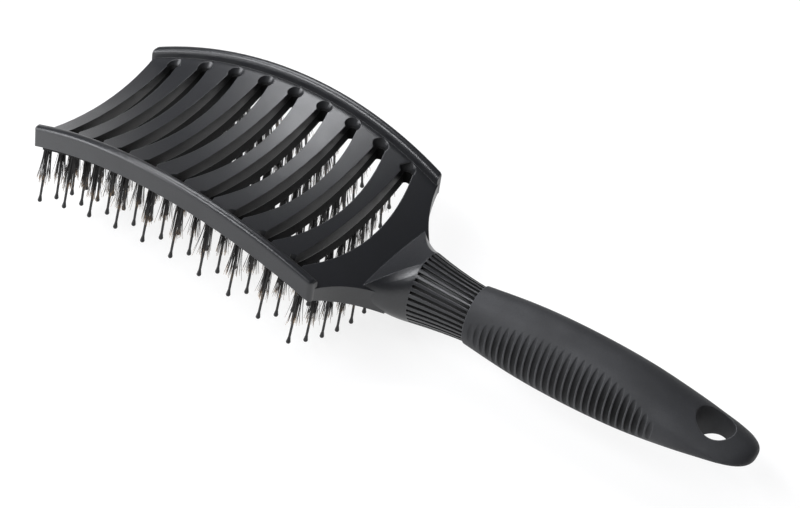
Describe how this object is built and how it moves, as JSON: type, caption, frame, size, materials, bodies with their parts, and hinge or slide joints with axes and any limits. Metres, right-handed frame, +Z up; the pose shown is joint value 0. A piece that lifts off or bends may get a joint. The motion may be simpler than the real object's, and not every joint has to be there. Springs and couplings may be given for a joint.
{
  "type": "curved vented styling brush",
  "caption": "Curved vented hair brush: arched dark head with side rails and cross slats, boar tufts with ball-tipped pins, a fluted neck and a ribbed grip with a hang hole.",
  "frame": {"origin": "middle of the length and width, at the lowest pin tip", "axes": "+X from the head to the handle's end, +Y across the head, +Z up away from the bristles"},
  "size_m": [0.24, 0.076, 0.0467],
  "materials": {
    "frame_plastic": "satin charcoal",
    "grid_plastic": "satin black",
    "grip_soft": "soft matt charcoal",
    "boar_hair": "dark hair with paler tips",
    "pin_plastic": "smooth black"
  },
  "bodies": {
    "root": {"head_frame": "frame_plastic", "bristle_grid": "grid_plastic", "grip_sleeve": "grip_soft", "boar_tufts_row_01": "boar_hair", "boar_tufts_row_02": "boar_hair", "boar_tufts_row_03": "boar_hair", "boar_tufts_row_04": "boar_hair", "boar_tufts_row_05": "boar_hair", "boar_tufts_row_06": "boar_hair", "boar_tufts_row_07": "boar_hair", "boar_tufts_row_08": "boar_hair", "boar_tufts_row_09": "boar_hair", "boar_tufts_row_10": "boar_hair", "ball_pins_row_01": "pin_plastic", "ball_pins_row_02": "pin_plastic", "ball_pins_row_03": "pin_plastic", "ball_pins_row_04": "pin_plastic", "ball_pins_row_05": "pin_plastic", "ball_pins_row_06": "pin_plastic", "ball_pins_row_07": "pin_plastic", "ball_pins_row_08": "pin_plastic", "ball_pins_row_09": "pin_plastic", "ball_pins_row_10": "pin_plastic"}
  },
  "joints": []
}
